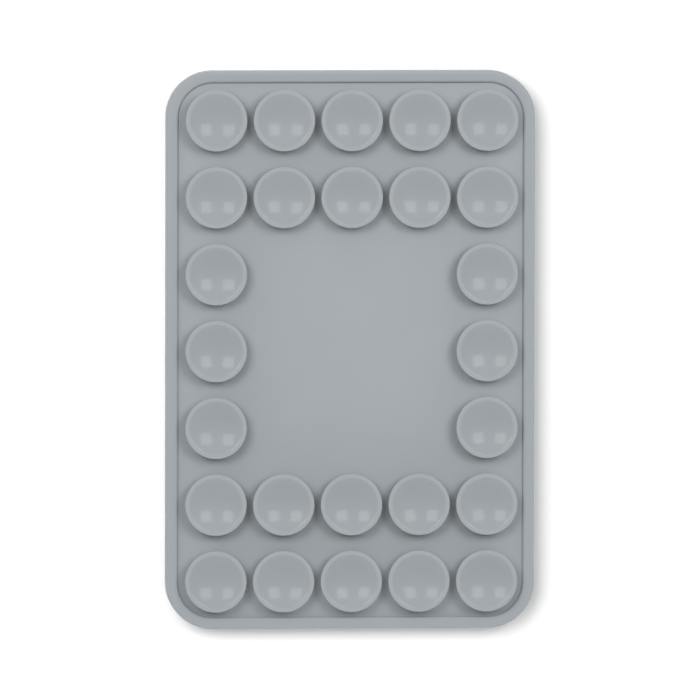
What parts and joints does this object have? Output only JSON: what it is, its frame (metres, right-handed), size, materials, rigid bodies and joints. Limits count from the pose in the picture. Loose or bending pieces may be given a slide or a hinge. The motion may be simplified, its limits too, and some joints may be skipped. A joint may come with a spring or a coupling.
{
  "type": "suction phone mount",
  "caption": "Flat rounded phone-back mount: soft grey frame, inset mat of flexing suction cups round a bare middle, magnets inside and a flat back.",
  "frame": {"origin": "middle of the flat back face, which the part lies on", "axes": "+Z out of the side with the suction cups, +Y towards the end nearest the ring of magnets (the top of the picture), +X to the right of the picture"},
  "size_m": [0.067, 0.1014, 0.007],
  "materials": {
    "frame_silicone": "satin cool grey silicone",
    "mat_silicone": "satin cool grey silicone",
    "cup_silicone": "cool grey silicone, smoother and slightly glossy in the dish",
    "pad_silicone": "matte soft-touch silicone",
    "adhesive_film": "translucent double-sided adhesive film",
    "carrier_plastic": "fine matte moulded plastic",
    "magnet": "nickel-plated neodymium",
    "shunt_steel": "plain stamped steel"
  },
  "bodies": {
    "mount_body": {"outer_frame": "frame_silicone", "suction_mat": "mat_silicone", "mat_adhesive": "adhesive_film", "magnet_carrier": "carrier_plastic", "magnet_ring": "magnet", "alignment_magnet": "magnet", "shunt_ring": "shunt_steel", "pad_adhesive": "adhesive_film", "grip_pad": "pad_silicone"},
    "cup_r1c1": {"suction_cup_r1c1": "cup_silicone"},
    "cup_r1c2": {"suction_cup_r1c2": "cup_silicone"},
    "cup_r1c3": {"suction_cup_r1c3": "cup_silicone"},
    "cup_r1c4": {"suction_cup_r1c4": "cup_silicone"},
    "cup_r1c5": {"suction_cup_r1c5": "cup_silicone"},
    "cup_r2c1": {"suction_cup_r2c1": "cup_silicone"},
    "cup_r2c2": {"suction_cup_r2c2": "cup_silicone"},
    "cup_r2c3": {"suction_cup_r2c3": "cup_silicone"},
    "cup_r2c4": {"suction_cup_r2c4": "cup_silicone"},
    "cup_r2c5": {"suction_cup_r2c5": "cup_silicone"},
    "cup_r3c1": {"suction_cup_r3c1": "cup_silicone"},
    "cup_r3c5": {"suction_cup_r3c5": "cup_silicone"},
    "cup_r4c1": {"suction_cup_r4c1": "cup_silicone"},
    "cup_r4c5": {"suction_cup_r4c5": "cup_silicone"},
    "cup_r5c1": {"suction_cup_r5c1": "cup_silicone"},
    "cup_r5c5": {"suction_cup_r5c5": "cup_silicone"},
    "cup_r6c1": {"suction_cup_r6c1": "cup_silicone"},
    "cup_r6c2": {"suction_cup_r6c2": "cup_silicone"},
    "cup_r6c3": {"suction_cup_r6c3": "cup_silicone"},
    "cup_r6c4": {"suction_cup_r6c4": "cup_silicone"},
    "cup_r6c5": {"suction_cup_r6c5": "cup_silicone"},
    "cup_r7c1": {"suction_cup_r7c1": "cup_silicone"},
    "cup_r7c2": {"suction_cup_r7c2": "cup_silicone"},
    "cup_r7c3": {"suction_cup_r7c3": "cup_silicone"},
    "cup_r7c4": {"suction_cup_r7c4": "cup_silicone"},
    "cup_r7c5": {"suction_cup_r7c5": "cup_silicone"}
  },
  "joints": [
    {"name": "press_r1c1", "type": "slide", "parent": "mount_body", "child": "cup_r1c1", "axis": [0, 0, -1], "range_m": [0, 0.0007], "stiffness_N_per_m": 800},
    {"name": "press_r1c2", "type": "slide", "parent": "mount_body", "child": "cup_r1c2", "axis": [0, 0, -1], "range_m": [0, 0.0007], "stiffness_N_per_m": 800},
    {"name": "press_r1c3", "type": "slide", "parent": "mount_body", "child": "cup_r1c3", "axis": [0, 0, -1], "range_m": [0, 0.0007], "stiffness_N_per_m": 800},
    {"name": "press_r1c4", "type": "slide", "parent": "mount_body", "child": "cup_r1c4", "axis": [0, 0, -1], "range_m": [0, 0.0007], "stiffness_N_per_m": 800},
    {"name": "press_r1c5", "type": "slide", "parent": "mount_body", "child": "cup_r1c5", "axis": [0, 0, -1], "range_m": [0, 0.0007], "stiffness_N_per_m": 800},
    {"name": "press_r2c1", "type": "slide", "parent": "mount_body", "child": "cup_r2c1", "axis": [0, 0, -1], "range_m": [0, 0.0007], "stiffness_N_per_m": 800},
    {"name": "press_r2c2", "type": "slide", "parent": "mount_body", "child": "cup_r2c2", "axis": [0, 0, -1], "range_m": [0, 0.0007], "stiffness_N_per_m": 800},
    {"name": "press_r2c3", "type": "slide", "parent": "mount_body", "child": "cup_r2c3", "axis": [0, 0, -1], "range_m": [0, 0.0007], "stiffness_N_per_m": 800},
    {"name": "press_r2c4", "type": "slide", "parent": "mount_body", "child": "cup_r2c4", "axis": [0, 0, -1], "range_m": [0, 0.0007], "stiffness_N_per_m": 800},
    {"name": "press_r2c5", "type": "slide", "parent": "mount_body", "child": "cup_r2c5", "axis": [0, 0, -1], "range_m": [0, 0.0007], "stiffness_N_per_m": 800},
    {"name": "press_r3c1", "type": "slide", "parent": "mount_body", "child": "cup_r3c1", "axis": [0, 0, -1], "range_m": [0, 0.0007], "stiffness_N_per_m": 800},
    {"name": "press_r3c5", "type": "slide", "parent": "mount_body", "child": "cup_r3c5", "axis": [0, 0, -1], "range_m": [0, 0.0007], "stiffness_N_per_m": 800},
    {"name": "press_r4c1", "type": "slide", "parent": "mount_body", "child": "cup_r4c1", "axis": [0, 0, -1], "range_m": [0, 0.0007], "stiffness_N_per_m": 800},
    {"name": "press_r4c5", "type": "slide", "parent": "mount_body", "child": "cup_r4c5", "axis": [0, 0, -1], "range_m": [0, 0.0007], "stiffness_N_per_m": 800},
    {"name": "press_r5c1", "type": "slide", "parent": "mount_body", "child": "cup_r5c1", "axis": [0, 0, -1], "range_m": [0, 0.0007], "stiffness_N_per_m": 800},
    {"name": "press_r5c5", "type": "slide", "parent": "mount_body", "child": "cup_r5c5", "axis": [0, 0, -1], "range_m": [0, 0.0007], "stiffness_N_per_m": 800},
    {"name": "press_r6c1", "type": "slide", "parent": "mount_body", "child": "cup_r6c1", "axis": [0, 0, -1], "range_m": [0, 0.0007], "stiffness_N_per_m": 800},
    {"name": "press_r6c2", "type": "slide", "parent": "mount_body", "child": "cup_r6c2", "axis": [0, 0, -1], "range_m": [0, 0.0007], "stiffness_N_per_m": 800},
    {"name": "press_r6c3", "type": "slide", "parent": "mount_body", "child": "cup_r6c3", "axis": [0, 0, -1], "range_m": [0, 0.0007], "stiffness_N_per_m": 800},
    {"name": "press_r6c4", "type": "slide", "parent": "mount_body", "child": "cup_r6c4", "axis": [0, 0, -1], "range_m": [0, 0.0007], "stiffness_N_per_m": 800},
    {"name": "press_r6c5", "type": "slide", "parent": "mount_body", "child": "cup_r6c5", "axis": [0, 0, -1], "range_m": [0, 0.0007], "stiffness_N_per_m": 800},
    {"name": "press_r7c1", "type": "slide", "parent": "mount_body", "child": "cup_r7c1", "axis": [0, 0, -1], "range_m": [0, 0.0007], "stiffness_N_per_m": 800},
    {"name": "press_r7c2", "type": "slide", "parent": "mount_body", "child": "cup_r7c2", "axis": [0, 0, -1], "range_m": [0, 0.0007], "stiffness_N_per_m": 800},
    {"name": "press_r7c3", "type": "slide", "parent": "mount_body", "child": "cup_r7c3", "axis": [0, 0, -1], "range_m": [0, 0.0007], "stiffness_N_per_m": 800},
    {"name": "press_r7c4", "type": "slide", "parent": "mount_body", "child": "cup_r7c4", "axis": [0, 0, -1], "range_m": [0, 0.0007], "stiffness_N_per_m": 800},
    {"name": "press_r7c5", "type": "slide", "parent": "mount_body", "child": "cup_r7c5", "axis": [0, 0, -1], "range_m": [0, 0.0007], "stiffness_N_per_m": 800}
  ]
}
